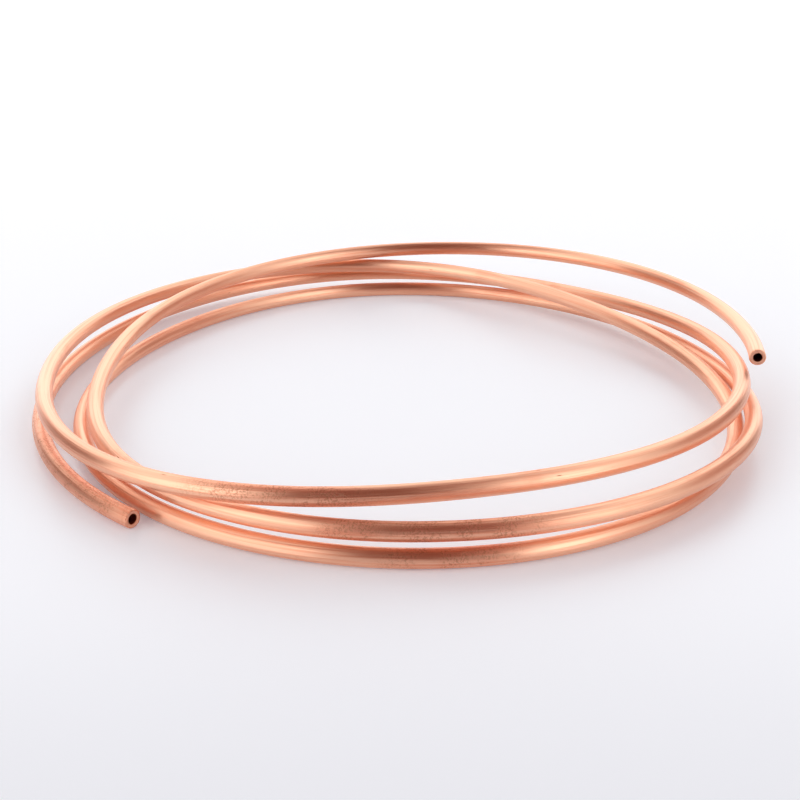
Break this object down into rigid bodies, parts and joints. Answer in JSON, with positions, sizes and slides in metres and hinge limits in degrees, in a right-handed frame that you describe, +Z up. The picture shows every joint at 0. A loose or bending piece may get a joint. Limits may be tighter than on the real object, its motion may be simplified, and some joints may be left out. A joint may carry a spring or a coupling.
{
  "type": "copper tube coil",
  "caption": "Length of thick-walled round copper tube, bent by hand into a loose open coil that lies flat, its ends cut square and its bore open throughout.",
  "frame": {"origin": "on the floor, under the middle of the coil's box", "axes": "+Z up, square to the floor that the coil lies on; -Y towards the side where the lower end lies; +X towards the raised end"},
  "size_m": [0.1804, 0.1856, 0.0166],
  "materials": {
    "copper": "bright drawn copper"
  },
  "bodies": {
    "root": {"copper_tube": "copper"}
  },
  "joints": []
}
